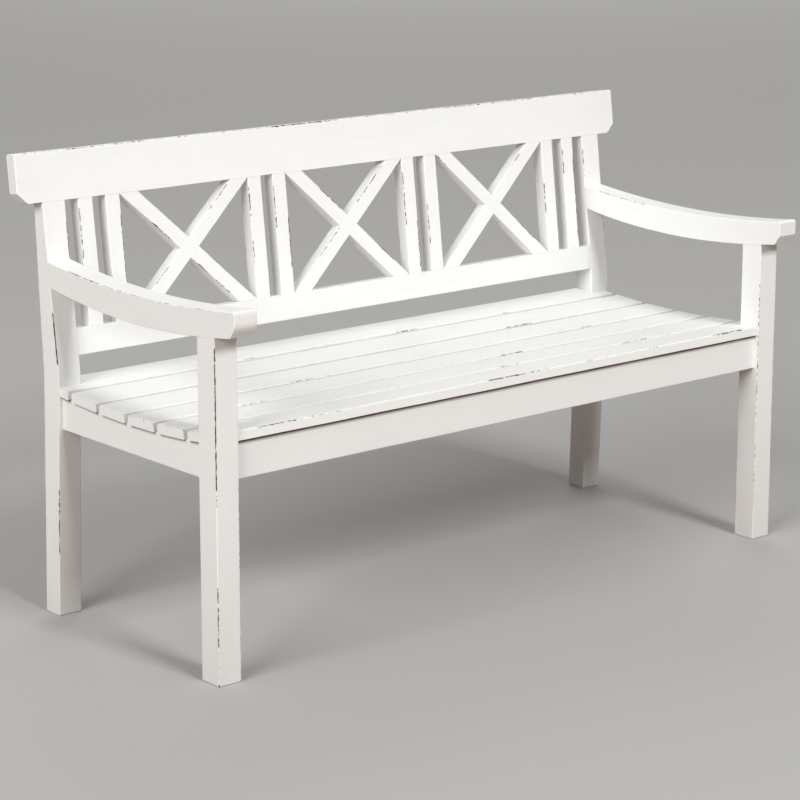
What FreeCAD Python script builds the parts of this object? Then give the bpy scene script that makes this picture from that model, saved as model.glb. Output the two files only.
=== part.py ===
import FreeCAD, Part
import math
import os

# Three-seat bench with three crossed panels in its back. All sizes in millimetres.
# X runs along the seat, the sitter faces -Y and Z points up from the floor.
# While drawing, y = 0 is the front face of the front legs. On writing, every piece is
# moved along Y so that the origin is on the floor, in the middle of the outline.

# Overall sizes
post_span = 1400.0           # outer face to outer face of the left and right legs
overall_height = 870.0       # floor to the front top edge of the crest rail
post_setback = 484.0         # front legs' front face to the rear posts' front face at the bend

# Legs and rear posts
leg_width = 48.0             # along X, legs, posts and armrests
front_leg_depth = 50.0
bend_height = 465.0          # where the rear posts change direction
back_rake = 7.0              # degrees, slope of the back above the bend
foot_kick = 18.0             # how far the rear feet stand behind the bend
post_foot_depth = 45.0
post_seat_depth = 50.0
post_top_depth = 29.0
bend_radius = 200.0
foot_chamfer = 3.5
edge_round = 1.5             # easing of the long edges of legs and posts

# Back frame, heights measured up the slope from the bend
crest_height = 92.0
crest_thickness = 28.0
crest_overhang = 50.0        # past the outer face of each post
crest_clip = 20.0            # clipped lower corners
crest_round = 2.5
crest_corner_round = 5.0     # upper corners, seen from the front
lower_rail_low = 30.0
lower_rail_height = 50.0
lower_rail_thickness = 28.0
panel_count = 3              # crossed panels, with a group of slats at both sides of each
group_slats = 2              # upright slats in a group
back_slat_width = 31.0
back_slat_depth = 27.0
group_gap = 28.5             # between the slats of a group
end_gap = 28.5               # between a post and the slat next to it
cross_bar_width = 28.5
cross_bar_depth = 27.0
back_round = 1.5             # easing of the long edges of slats, bars and the lower rail

# Armrests, heights above the floor
arm_rear_top = 672.0
arm_middle_top = 653.4
arm_front_top = 668.8
arm_rear_low = 623.0
arm_middle_low = 601.5
arm_front_low = 622.5
arm_middle_place = 225.0     # y of the lowest part of the dish
arm_front_place = -45.0      # y where the front heights are measured
arm_nose_left = 57.0         # reach past the front leg, the two are shaped by hand
arm_nose_right = 48.0
arm_nose_face = 30.0         # height of the upright front of the nose
arm_nose_cut = 13.0          # how far the cut below it runs back
arm_nose_round_left = 28.0   # between the front of the nose and the cut
arm_nose_round_right = 2.5
arm_nose_top_round = 5.0     # between the top and the front of the nose
arm_ease = 1.5               # chamfer along the side edges of the top and the nose

# Seat
seat_low_height = 432.0      # top of the seat where the dish is lowest
seat_low_place = 277.0       # y of that place
seat_dish_radius = 2325.0
seat_front_edge = 5.0
seat_rear_edge = 532.0
slat_thickness = 18.0
middle_slats = 4             # slats of full length, between the notched front and rear ones
seat_slat_width = 79.0
front_slat_width = 84.0
slat_gap = 11.0
slat_round = 2.5
slat_end_inset = 4.0         # slat ends behind the outer faces of the legs
notch_clearance = 1.0        # between a notched slat and the leg it fits round

# Aprons and what is under the seat
apron_thickness = 24.0
apron_low = 360.0
front_apron_inset = 10.5     # behind the front legs' front face
side_apron_inset = 9.5       # behind the legs' outer face
rear_apron_place = 500.0     # y of the rear apron's front face
apron_round = 1.5            # easing of the aprons' lower outer edges
bearer_width = 30.0
bearer_low = 375.0
cleat_width = 25.0
cleat_low = 394.0
cleat_end_gap = 3.0          # between a cleat and the legs
block_low = 364.0
block_height = 26.0
block_thickness = 24.0
block_leg_gap = 0.7          # between a corner block and the edge of the leg

# Wood joints
fit = 0.2                    # clearance at each side of a tenon
glue_room = 1.0              # clearance at the end of a tenon
apron_tenon_thickness = 10.0
apron_tenon_low = 372.0
apron_tenon_high = 415.0
long_apron_tenon = 18.0      # front and rear apron
side_apron_tenon = 20.0
bearer_tenon_length = 8.0
bearer_tenon_thickness = 14.0
bearer_tenon_low = 381.0
bearer_tenon_high = 404.0
rail_tenon_length = 28.0
rail_tenon_thickness = 14.0
rail_tenon_height = 30.0
slat_tenon_width = 20.0
slat_tenon_thickness = 12.0
slat_tenon_length = 15.0
post_tenon_width = 26.0
post_tenon_thickness = 14.0
post_tenon_length = 35.0
arm_tenon_width = 20.0
arm_tenon_height = 26.0
arm_tenon_length = 22.0
leg_tenon_width = 24.0
leg_tenon_length = 25.0
bar_tenon_width = 26.0
bar_tenon_length = 12.0
lap_clearance = 0.1

# Screws, which are hidden under the seat
screw_sides = 8              # sides drawn on a screw and its hole
screw_radius = 2.0
screw_head_radius = 4.0
screw_head_height = 3.0
screw_hole_clearance = 0.15
screw_bite = 11.0            # how far the screws reach into the slats
screw_end_gap = 12.0         # front and rear screws to the ends of the cleats and bearer

V = FreeCAD.Vector
half_span = post_span / 2
inner_half = half_span - leg_width
leg_middle = half_span - leg_width / 2
rake_slope = math.tan(math.radians(back_rake))
crest_low = (overall_height - bend_height) / math.cos(math.radians(back_rake)) - crest_height
lower_rail_top = lower_rail_low + lower_rail_height
group_count = panel_count + 1
group_width = group_slats * back_slat_width + (group_slats - 1) * group_gap
panel_width = (2 * (inner_half - end_gap) - group_count * group_width) / panel_count
front_apron_rear = front_apron_inset + apron_thickness
side_apron_face = half_span - side_apron_inset
side_apron_inner = side_apron_face - apron_thickness
LEFT, RIGHT = -1, 1


# Drawing helpers

def block(xs, ys, zs):
    """box between two values on each axis, given in either order"""
    corner = V(min(xs), min(ys), min(zs))
    return Part.makeBox(abs(xs[1] - xs[0]), abs(ys[1] - ys[0]), abs(zs[1] - zs[0]), corner)


def widened(pair, by):
    return (min(pair) - by, max(pair) + by)


def socket(xs, ys, zs, along):
    """hole for a tenon of this size that runs along the named axis"""
    grow = {axis: glue_room if axis == along else fit for axis in "xyz"}
    return block(widened(xs, grow["x"]), widened(ys, grow["y"]), widened(zs, grow["z"]))


def across(outline, x_from, x_to):
    """solid with the given (y, z) outline between two places on X"""
    corners = [V(x_from, y, z) for y, z in outline]
    return Part.Face(Part.makePolygon(corners + corners[:1])).extrude(V(x_to - x_from, 0, 0))


def upright(outline, depth_from, depth_to):
    """solid with the given (x, height) outline between two depths"""
    corners = [V(x, depth_from, height) for x, height in outline]
    return Part.Face(Part.makePolygon(corners + corners[:1])).extrude(V(0, depth_to - depth_from, 0))


def lean(shape):
    """tips a piece drawn upright, from the bend up, into the slope of the back"""
    tipped = shape.copy()
    tipped.rotate(V(0, 0, 0), V(1, 0, 0), -back_rake)
    tipped.translate(V(0, post_setback, bend_height))
    return tipped


def on_slope(depth, height):
    """(y, z) of a place in the back frame, from its depth and height up the slope"""
    spot = lean(Part.Vertex(0, depth, height)).Point
    return (spot.y, spot.z)


def post_front(z):
    """y of the rear posts' front face at height z"""
    if z < bend_height:
        return post_setback + foot_kick * (bend_height - z) / bend_height
    return post_setback + rake_slope * (z - bend_height)


def rounded(shape, radius, chosen):
    return shape.makeFillet(radius, [edge for edge in shape.Edges if chosen(edge.BoundBox)])


def foot_eased(shape):
    """chamfers the edges of a leg that stand on the floor"""
    on_floor = [edge for edge in shape.Edges if edge.BoundBox.ZMax < foot_chamfer]
    return shape.makeChamfer(foot_chamfer, on_floor)


def middle_of(total, part):
    """range of a part centred in a total thickness"""
    return ((total - part) / 2, (total + part) / 2)


# Circles of the armrest's top and underside, through three places each

def circle_through(places):
    circle = Part.Circle(*[V(0, y, z) for y, z in places])
    return circle.Center.y, circle.Center.z, circle.Radius


def arm_circle(rear, middle, front):
    rear_place = post_front(rear)
    return circle_through([(rear_place, rear), (arm_middle_place, middle), (arm_front_place, front)])


arm_top = arm_circle(arm_rear_top, arm_middle_top, arm_front_top)
arm_under = arm_circle(arm_rear_low, arm_middle_low, arm_front_low)


def dish_height(circle, y):
    centre_y, centre_z, radius = circle
    return centre_z - math.sqrt(radius ** 2 - (y - centre_y) ** 2)


def dish_arc(circle, y_from, y_to, x):
    stops = (y_from, (y_from + y_to) / 2, y_to)
    return Part.Arc(*[V(x, y, dish_height(circle, y)) for y in stops]).toShape()


def line(x, start, end):
    return Part.makeLine(V(x, *start), V(x, *end))


# Seat line: where the slats lie, and the tops of the pieces that carry them

def slat_edges():
    """front and rear y of each seat slat, the rear slat first"""
    front = seat_front_edge
    edges = [(front, front + front_slat_width)]
    for _ in range(middle_slats):
        front = edges[-1][1] + slat_gap
        edges.append((front, front + seat_slat_width))
    edges.append((edges[-1][1] + slat_gap, seat_rear_edge))
    return edges[::-1]


def slat_pose(edges):
    """middle of a slat's top face and its slope as an angle"""
    middle = (edges[0] + edges[1]) / 2
    off = middle - seat_low_place
    height = seat_low_height + off ** 2 / (2 * seat_dish_radius)
    return middle, height, math.atan(off / seat_dish_radius)


def slat_underside(edges):
    """front and rear (y, z) of a slat's lower face"""
    y, z, angle = slat_pose(edges)
    y += slat_thickness * math.sin(angle)
    z -= slat_thickness * math.cos(angle)
    half = (edges[1] - edges[0]) / 2
    step_y, step_z = half * math.cos(angle), half * math.sin(angle)
    return [(y - step_y, z - step_z), (y + step_y, z + step_z)]


seat_line = [place for edges in slat_edges()[::-1] for place in slat_underside(edges)]


def seat_height(y):
    """height of the seat line at y, run on straight past both ends"""
    pairs = list(zip(seat_line, seat_line[1:]))
    first, second = next((pair for pair in pairs if y <= pair[1][0]), pairs[-1])
    return first[1] + (second[1] - first[1]) * (y - first[0]) / (second[0] - first[0])


def seat_top_edge(y_from, y_to):
    """the seat line between two places, front to rear"""
    inside = [place for place in seat_line if y_from < place[0] < y_to]
    return [(y_from, seat_height(y_from))] + inside + [(y_to, seat_height(y_to))]


def under_seat(y_from, y_to, low, x_from, x_to):
    """a piece with a straight lower edge that carries the slats on its top edge"""
    outline = seat_top_edge(y_from, y_to) + [(y_to, low), (y_from, low)]
    return across(outline, x_from, x_to)


# Tenon sizes, shared by each tenon and its socket

apron_tenon_zs = (apron_tenon_low, apron_tenon_high)
bearer_tenon_zs = (bearer_tenon_low, bearer_tenon_high)


def long_apron_tenon_box(side, apron_front):
    near, far = middle_of(apron_thickness, apron_tenon_thickness)
    xs = (side * inner_half, side * (inner_half + long_apron_tenon))
    return xs, (apron_front + near, apron_front + far), apron_tenon_zs


def side_tenon_box(side, y_from, y_to):
    near, far = middle_of(apron_thickness, apron_tenon_thickness)
    xs = (side * (side_apron_inner + near), side * (side_apron_inner + far))
    return xs, (y_from, y_to), apron_tenon_zs


def side_tenon_front(side):
    return side_tenon_box(side, front_leg_depth - side_apron_tenon, front_leg_depth)


def side_tenon_rear(side):
    shoulder = post_front(apron_tenon_high)
    return side_tenon_box(side, shoulder - apron_tenon_thickness, shoulder + side_apron_tenon)


def rail_tenon_box(side):
    rise = middle_of(lower_rail_height, rail_tenon_height)
    xs = (side * inner_half, side * (inner_half + rail_tenon_length))
    depths = middle_of(lower_rail_thickness, rail_tenon_thickness)
    return xs, depths, (lower_rail_low + rise[0], lower_rail_low + rise[1])


def post_tenon_box(side):
    half = post_tenon_width / 2
    xs = (side * leg_middle - half, side * leg_middle + half)
    depths = middle_of(crest_thickness, post_tenon_thickness)
    return xs, depths, (crest_low, crest_low + post_tenon_length)


def arm_tenon_box(side):
    half = arm_tenon_width / 2
    xs = (side * leg_middle - half, side * leg_middle + half)
    middle = ((arm_rear_top + arm_rear_low) / 2 - bend_height) / math.cos(math.radians(back_rake))
    heights = (middle - arm_tenon_height / 2, middle + arm_tenon_height / 2)
    return xs, (-half, arm_tenon_length), heights


def leg_tenon_box(side):
    half = leg_tenon_width / 2
    ys = middle_of(front_leg_depth, leg_tenon_width)
    shoulder = dish_height(arm_under, front_leg_depth / 2)
    xs = (side * leg_middle - half, side * leg_middle + half)
    return xs, ys, (shoulder - leg_tenon_width / 2, shoulder + leg_tenon_length)


def upright_tenon(x_middle, width, length, depth, above):
    """tenon of a slat or bar into the crest rail above it or the lower rail below it"""
    xs = (x_middle - width / 2, x_middle + width / 2)
    heights = (crest_low, crest_low + length) if above else (lower_rail_top - length, lower_rail_top)
    return xs, middle_of(depth, slat_tenon_thickness), heights


def slat_tenon_box(x_middle, above):
    return upright_tenon(x_middle, slat_tenon_width, slat_tenon_length, back_slat_depth, above)


def bar_tenon_box(x_middle, falling, above):
    """tenon in the middle of a crossed bar's slanting end"""
    ends = bar_outline(falling)
    end = ends[:2] if above else ends[2:]
    x = x_middle + (end[0][0] + end[1][0]) / 2
    return upright_tenon(x, bar_tenon_width, bar_tenon_length, cross_bar_depth, above)


def rail_sockets(above):
    """all sockets for slats and bars in the crest rail or the lower rail"""
    boxes = [slat_tenon_box(x, above) for x in back_slat_places()]
    boxes += [bar_tenon_box(x, falling, above) for x in panel_places() for falling in (True, False)]
    return [socket(*box, along="z") for box in boxes]


def bearer_tenon_box(rear):
    half = bearer_tenon_thickness / 2
    shoulder = rear_apron_place if rear else front_apron_rear - bearer_tenon_length
    return (-half, half), (shoulder, shoulder + bearer_tenon_length), bearer_tenon_zs


# Places along the back

def back_slat_places():
    """x of the middle of each upright slat, left to right"""
    left = -inner_half + end_gap
    places = []
    for _ in range(group_count):
        for _ in range(group_slats):
            places.append(left + back_slat_width / 2)
            left += back_slat_width + group_gap
        left += panel_width - group_gap
    return places


def panel_places():
    """x of the middle of each crossed panel, left to right"""
    places = back_slat_places()
    last_in_group = range(group_slats - 1, len(places) - 1, group_slats)
    return [(places[i] + places[i + 1]) / 2 for i in last_in_group]


def bar_outline(falling, grow=0.0):
    """outline of a crossed bar about the panel's middle, its outer edges through the corners"""
    half_w = panel_width / 2
    half_h = (crest_low - lower_rail_top) / 2
    turn = math.asin(cross_bar_width / 2 / math.hypot(half_w, half_h))
    run = cross_bar_width / math.sin(math.atan2(half_h, half_w) + turn)
    more = grow / math.sin(math.atan2(half_h, half_w) + turn)
    outline = [(-half_w - more, half_h), (-half_w + run + more, half_h),
               (half_w + more, -half_h), (half_w - run - more, -half_h)]
    return outline if falling else [(-x, h) for x, h in outline]


def panel_middle_height():
    return (crest_low + lower_rail_top) / 2


def bar_solid(x_middle, falling, depth_from, depth_to, grow=0.0):
    lift = panel_middle_height()
    outline = [(x + x_middle, h + lift) for x, h in bar_outline(falling, grow)]
    return upright(outline, depth_from, depth_to)


# Screws: head below, shank upwards into a slat

def many_sided(radius, height, base):
    """upright bar with as many sides as a screw, its corners on the given radius"""
    turns = [2 * math.pi * i / screw_sides for i in range(screw_sides)]
    corners = [base + V(radius * math.cos(turn), radius * math.sin(turn), 0) for turn in turns]
    return Part.Face(Part.makePolygon(corners + corners[:1])).extrude(V(0, 0, height))


def screw(head, length):
    cap = many_sided(screw_head_radius, screw_head_height, head - V(0, 0, screw_head_height))
    return cap.fuse(many_sided(screw_radius, length, head)).removeSplitter()


def screw_places():
    """(head place, length) of all screws, two in the cleats and one in the bearer for each slat"""
    cleat_x = side_apron_inner - cleat_width / 2
    places = []
    for edges in slat_edges():
        for x, low, ends in ((-cleat_x, cleat_low, cleat_ends()), (cleat_x, cleat_low, cleat_ends()),
                             (0, bearer_low, (front_apron_rear, rear_apron_place))):
            middle = (edges[0] + edges[1]) / 2
            y = min(max(middle, ends[0] + screw_end_gap), ends[1] - screw_end_gap)
            places.append((V(x, y, low), seat_height(y) + screw_bite - low))
    return places


def drilled(shape):
    """cuts the holes of all screws that pass through a piece"""
    radius = screw_radius + screw_hole_clearance
    for head, length in screw_places():
        hole = many_sided(radius, length + glue_room, head)
        if hole.BoundBox.intersect(shape.BoundBox):
            shape = shape.cut(hole)
    return shape


def cleat_ends():
    return front_leg_depth + cleat_end_gap, post_setback - cleat_end_gap


def block_reach(rear):
    """reach along the aprons of a corner block's outer and inner faces"""
    along_y = rear_apron_place - post_front(block_low) if rear else front_leg_depth - front_apron_rear
    outer = side_apron_inner - inner_half + along_y + block_leg_gap * math.sqrt(2)
    return outer, outer + block_thickness * math.sqrt(2)


# The pieces

def front_leg(side):
    x = side * inner_half
    rear_top = (front_leg_depth, dish_height(arm_under, front_leg_depth))
    front_top = (0, dish_height(arm_under, 0))
    rear_foot = (front_leg_depth, 0)
    wire = Part.Wire([line(x, (0, 0), rear_foot), line(x, rear_foot, rear_top),
                      dish_arc(arm_under, front_leg_depth, 0, x), line(x, front_top, (0, 0))])
    leg = Part.Face(wire).extrude(V(side * leg_width, 0, 0))
    leg = foot_eased(leg)
    leg = rounded(leg, edge_round, lambda box: box.ZLength > apron_low)
    leg = leg.fuse(block(*leg_tenon_box(side)))
    leg = leg.cut(socket(*long_apron_tenon_box(side, front_apron_inset), along="x"))
    return leg.cut(socket(*side_tenon_front(side), along="y"))


def rear_post(side):
    foot = post_setback + foot_kick
    bend_rear = on_slope(post_seat_depth, 0)
    outline = [(foot, 0), (foot + post_foot_depth, 0), bend_rear, on_slope(post_top_depth, crest_low),
               on_slope(0, crest_low), (post_setback, bend_height)]
    post = across(outline, side * inner_half, side * half_span)
    post = rounded(post, bend_radius, lambda box: box.XLength > edge_round
                   and foot_chamfer < box.Center.z < bend_height + edge_round)
    post = foot_eased(post)
    long_edge = bend_height / 2
    post = rounded(post, edge_round, lambda box: box.XLength < edge_round and box.ZLength > long_edge)
    post = post.fuse(lean(block(*post_tenon_box(side))))
    post = post.cut(lean(socket(*rail_tenon_box(side), along="x")))
    post = post.cut(lean(socket(*arm_tenon_box(side), along="y")))
    post = post.cut(socket(*long_apron_tenon_box(side, rear_apron_place), along="x"))
    return post.cut(socket(*side_tenon_rear(side), along="y"))


def crest_rail():
    half = half_span + crest_overhang
    top = crest_low + crest_height
    outline = [(-half, top), (half, top), (half, crest_low + crest_clip), (half - crest_clip, crest_low),
               (crest_clip - half, crest_low), (-half, crest_low + crest_clip)]
    rail = upright(outline, 0, crest_thickness)
    rail = rounded(rail, crest_corner_round, lambda box: box.YLength > crest_round
                   and box.ZMin > top - crest_round)
    rail = rounded(rail, crest_round, lambda box: box.YLength < crest_round
                   and box.ZMax > crest_low + crest_round)
    for side in (LEFT, RIGHT):
        rail = rail.cut(socket(*post_tenon_box(side), along="z"))
    return lean(rail.cut(rail_sockets(above=True)))


def lower_back_rail():
    rail = block((-inner_half, inner_half), (0, lower_rail_thickness), (lower_rail_low, lower_rail_top))
    rail = rounded(rail, back_round, lambda box: box.XLength > inner_half and box.ZMax < lower_rail_top)
    for side in (LEFT, RIGHT):
        rail = rail.fuse(block(*rail_tenon_box(side)))
    return lean(rail.cut(rail_sockets(above=False)))


def back_slat(x):
    half = back_slat_width / 2
    slat = block((x - half, x + half), (0, back_slat_depth), (lower_rail_top, crest_low))
    slat = rounded(slat, back_round, lambda box: box.ZLength > back_slat_width)
    return lean(slat.fuse([block(*slat_tenon_box(x, above)) for above in (True, False)]))


def cross_bar(x, falling):
    """one bar of a crossed panel: the falling bar keeps its front half at the crossing"""
    bar = bar_solid(x, falling, 0, cross_bar_depth)
    bar = rounded(bar, back_round, lambda box: box.ZLength > cross_bar_width)
    halved = cross_bar_depth / 2
    lap = (halved, cross_bar_depth + glue_room) if falling else (-glue_room, halved)
    bar = bar.cut(bar_solid(x, not falling, *lap, grow=lap_clearance))
    return lean(bar.fuse([block(*bar_tenon_box(x, falling, above)) for above in (True, False)]))


def armrest(side):
    """dished armrest: two arcs, an upright nose with a cut below it, a rear end cut to the slope"""
    nose = -(arm_nose_left if side == LEFT else arm_nose_right)
    nose_round = arm_nose_round_left if side == LEFT else arm_nose_round_right
    x = side * inner_half
    top_front = (nose, dish_height(arm_top, nose))
    nose_low = (nose, top_front[1] - arm_nose_face)
    under_y = nose + arm_nose_cut
    under_front = (under_y, dish_height(arm_under, under_y))
    rear_y = post_front(arm_rear_top) + post_seat_depth
    rear_top = (rear_y, dish_height(arm_top, rear_y))
    rear_low = (rear_y, dish_height(arm_under, rear_y))
    wire = Part.Wire([dish_arc(arm_top, rear_y, nose, x), line(x, top_front, nose_low),
                      line(x, nose_low, under_front), dish_arc(arm_under, under_y, rear_y, x),
                      line(x, rear_low, rear_top)])
    arm = Part.Face(wire).extrude(V(side * leg_width, 0, 0))
    front_edges = [(nose_low[1], nose_round), (top_front[1], arm_nose_top_round)]
    for height, radius in front_edges:
        arm = rounded(arm, radius, lambda box: box.XLength > arm_ease and box.YMax < nose + arm_ease
                      and abs(box.Center.z - height) < arm_ease)
    side_edges = [edge for edge in arm.Edges if edge.BoundBox.XLength < arm_ease
                  and edge.BoundBox.YMax < nose + arm_ease]
    arm = arm.makeChamfer(arm_ease, side_edges)
    arm = arm.cut(behind_post_front(side))
    arm = arm.fuse(lean(block(*arm_tenon_box(side))))
    return arm.cut(socket(*leg_tenon_box(side), along="z"))


def behind_post_front(side):
    """the space behind a rear post's front face, from below the armrest to above it"""
    xs = widened((side * inner_half, side * half_span), arm_ease)
    heights = widened((arm_rear_low - bend_height, arm_rear_top - bend_height), post_seat_depth)
    return lean(block(xs, (0, 2 * post_seat_depth), heights))


def long_apron(apron_front, rear):
    """front or rear apron, with a tenon at each end and the socket of the bearer"""
    apron = under_seat(apron_front, apron_front + apron_thickness, apron_low, -inner_half, inner_half)
    if not rear:
        apron = rounded(apron, apron_round, lambda box: box.XLength > inner_half
                        and box.ZMax < apron_low + apron_round and box.YMax < apron_front + apron_round)
    apron = apron.fuse([block(*long_apron_tenon_box(side, apron_front)) for side in (LEFT, RIGHT)])
    return apron.cut(socket(*bearer_tenon_box(rear), along="y"))


def side_apron(side):
    rear_low = post_front(apron_low)
    rear_top = post_front(seat_height(rear_low))
    outline = seat_top_edge(front_leg_depth, rear_top)
    outline += [(rear_low, apron_low), (front_leg_depth, apron_low)]
    apron = across(outline, side * side_apron_inner, side * side_apron_face)
    apron = rounded(apron, apron_round, lambda box: box.YLength > apron_thickness
                    and box.ZMax < apron_low + apron_round
                    and abs(box.Center.x) > half_span - apron_thickness)
    return apron.fuse([block(*side_tenon_front(side)), block(*side_tenon_rear(side))]).removeSplitter()


def seat_bearer():
    half = bearer_width / 2
    bearer = under_seat(front_apron_rear, rear_apron_place, bearer_low, -half, half)
    bearer = bearer.fuse([block(*bearer_tenon_box(rear)) for rear in (False, True)])
    return drilled(bearer)


def seat_cleat(side):
    inner = side * (side_apron_inner - cleat_width)
    return drilled(under_seat(*cleat_ends(), cleat_low, inner, side * side_apron_inner))


def corner_block(side, rear):
    """diagonal block glued between two aprons, just inside the edge of the leg"""
    outer, inner = block_reach(rear)
    start, way = (rear_apron_place, -1) if rear else (front_apron_rear, 1)
    plan = [(outer, 0), (inner, 0), (0, inner), (0, outer)]
    places = [V(side * (side_apron_inner - along_x), start + way * along_y, block_low)
              for along_x, along_y in plan]
    return Part.Face(Part.makePolygon(places + places[:1])).extrude(V(0, 0, block_height))


def seat_slat(edges):
    y, z, angle = slat_pose(edges)
    half_length = half_span - slat_end_inset
    half_width = (edges[1] - edges[0]) / 2
    slat = block((-half_length, half_length), (-half_width, half_width), (-slat_thickness, 0))
    slat = rounded(slat, slat_round, lambda box: box.ZMin > -slat_round)
    slat.rotate(V(0, 0, 0), V(1, 0, 0), math.degrees(angle))
    slat.translate(V(0, y, z))
    for side in (LEFT, RIGHT):
        notch_xs = (side * (inner_half - notch_clearance), side * (half_span + notch_clearance))
        for notch_ys in ((-slat_thickness, front_leg_depth + notch_clearance),
                         (post_setback - notch_clearance, seat_rear_edge + post_seat_depth)):
            slat = slat.cut(block(notch_xs, notch_ys, (apron_low, bend_height)))
    return drilled(slat)


# Writing the pieces

def pieces():
    for word, side in (("left", LEFT), ("right", RIGHT)):
        yield "front_leg_" + word, front_leg(side)
        yield "rear_post_" + word, rear_post(side)
        yield "armrest_" + word, armrest(side)
        yield "side_apron_" + word, side_apron(side)
        yield "seat_cleat_" + word, seat_cleat(side)
        yield "corner_block_front_" + word, corner_block(side, False)
        yield "corner_block_rear_" + word, corner_block(side, True)
    yield "crest_rail", crest_rail()
    yield "lower_back_rail", lower_back_rail()
    yield "front_apron", long_apron(front_apron_inset, False)
    yield "rear_apron", long_apron(rear_apron_place, True)
    yield "seat_bearer", seat_bearer()
    for number, x in enumerate(back_slat_places(), 1):
        yield "back_slat_%d" % number, back_slat(x)
    for number, x in enumerate(panel_places(), 1):
        yield "cross_%d_falling" % number, cross_bar(x, True)
        yield "cross_%d_rising" % number, cross_bar(x, False)
    for number, edges in enumerate(slat_edges(), 1):
        yield "seat_slat_%d" % number, seat_slat(edges)
    yield "slat_screws", Part.makeCompound([screw(*place) for place in screw_places()])


crest_back = on_slope(crest_thickness, crest_low + crest_height)[0]
depth_middle = (crest_back - max(arm_nose_left, arm_nose_right)) / 2
os.makedirs("parts", exist_ok=True)
for name, shape in pieces():
    placed = shape.copy()
    placed.translate(V(0, -depth_middle, 0))
    placed.exportStep("parts/" + name + ".step")
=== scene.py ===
import bpy
import numpy as np
from mathutils import Matrix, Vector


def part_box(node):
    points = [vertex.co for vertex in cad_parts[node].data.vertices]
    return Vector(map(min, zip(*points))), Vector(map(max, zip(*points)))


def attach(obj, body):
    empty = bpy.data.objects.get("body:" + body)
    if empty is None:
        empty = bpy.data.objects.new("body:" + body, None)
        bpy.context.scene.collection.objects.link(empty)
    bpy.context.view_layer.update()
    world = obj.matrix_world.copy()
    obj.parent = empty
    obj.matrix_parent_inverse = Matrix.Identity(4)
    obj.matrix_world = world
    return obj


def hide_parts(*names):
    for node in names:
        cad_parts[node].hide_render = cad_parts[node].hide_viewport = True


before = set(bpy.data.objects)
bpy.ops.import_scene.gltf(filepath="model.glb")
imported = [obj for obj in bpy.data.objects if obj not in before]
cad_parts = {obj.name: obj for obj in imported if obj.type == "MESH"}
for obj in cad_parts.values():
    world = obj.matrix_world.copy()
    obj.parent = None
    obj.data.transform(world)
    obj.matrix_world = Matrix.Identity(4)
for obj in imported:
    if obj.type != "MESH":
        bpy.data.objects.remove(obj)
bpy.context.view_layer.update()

# Three-seat bench with three crossed panels in its back, in white paint worn through along the edges.
# Metres. X runs along the seat, the sitter faces -Y and Z points up from the floor.
# Depths are measured from the front face of the front legs.

front_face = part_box("front_leg_left")[0].y
X, Y, Z = np.eye(3)
SIDES = (("left", -1), ("right", 1))

# Sizes, as in the part's drawing
half_span = 0.700            # outer faces of the legs
leg_width = 0.048
leg_depth = 0.050
post_setback = 0.484
bend_height = 0.465
back_rake = np.radians(7.0)
foot_kick = 0.018
post_foot_depth, post_seat_depth, post_top_depth = 0.045, 0.050, 0.029
bend_run = 0.016             # half the length of the soft bend in the posts
tipped_early = 0.020         # how far below their tops the posts are fully tipped
foot_rim = 0.0015
crest_half, crest_height, crest_thickness, crest_clip, crest_corner = 0.750, 0.092, 0.028, 0.020, 0.005
overall_height = 0.870
rail_low, rail_height, rail_thickness = 0.030, 0.050, 0.028
slat_width, bar_width, bar_depth = 0.031, 0.0285, 0.027     # upright slats and crossed bars of the back
group_gap, end_gap, panel_count = 0.0285, 0.0285, 3
arm_tops = ((0.672, 0.6534, 0.6688), (0.623, 0.6015, 0.6225))    # rear, middle and front; top and underside
arm_middle, arm_front = 0.225, -0.045
nose_reach = {"left": 0.057, "right": 0.048}
nose_round = {"left": 0.028, "right": 0.0025}
nose_face, nose_cut = 0.030, 0.013
nose_top_round = {"left": (0.0035, 0.012), "right": (0.005, 0.005)}    # back and down
seat_low, seat_low_place, seat_dish = 0.432, 0.277, 2.325
slat_half, slat_thickness = 0.696, 0.018
seat_slats, seat_gap, seat_slat_width, front_slat_width = 6, 0.011, 0.079, 0.084
seat_front, seat_rear = 0.005, 0.532
apron_low, apron_thickness = 0.360, 0.024
front_apron_inset, side_apron_inset, rear_apron_place = 0.0105, 0.0095, 0.500
notch_gap = 0.001            # room round the legs in the notches of the seat slats

# Finish
edge_round = 0.0015          # long edges of legs, posts, slats and bars
soft_round = 0.0025          # edges that are touched most: crest rail and seat slats
crisp_round = 0.0008         # top edges of the lower back rail, low edges of the seat slats
crest_low_round, apron_top_round = 0.0006, 0.0005
arm_top_round, arm_low_round = 0.002, 0.0012
least_round = 0.0002
# Ends: size of the round or chamfer, and its steps
butt = (0.0, 1)              # stands against another piece
soft_end, arm_end, foot_end = (soft_round, 6), (edge_round, 6), (foot_rim, 2)
tuck = 0.0006                # how far a butt end runs into the other piece
shy = 0.00005                # how far a flush face stays behind its neighbour's
planed, planed_boards = 0.00015, 0.0003    # ripple left by the hand plane, on most pieces and on wide boards
chip_depth = 0.0006          # how much rounder an edge grows with wear
edge_lead = 0.003            # how far wear creeps from an edge onto the faces beside it
wear_fade = 0.008            # length over which a worn stretch sets in
under_slat_shade_height = 0.007           # height of the painted shadow under the seat slats
gap_fade, slat_fade = 0.003, 0.030         # painted shade and grime in the gaps grow over the first going down and the second going outwards from a slat's middle
                                           # going outwards from a slat's middle
gap_clean, gap_end_fade = 0.004, 0.006     # at a slat's ends: the clean length, and where painted shade and grime grow
dust_and_shade_height = 0.50           # how far floor dust and painted shade reach up the legs, darker towards the floor
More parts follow.
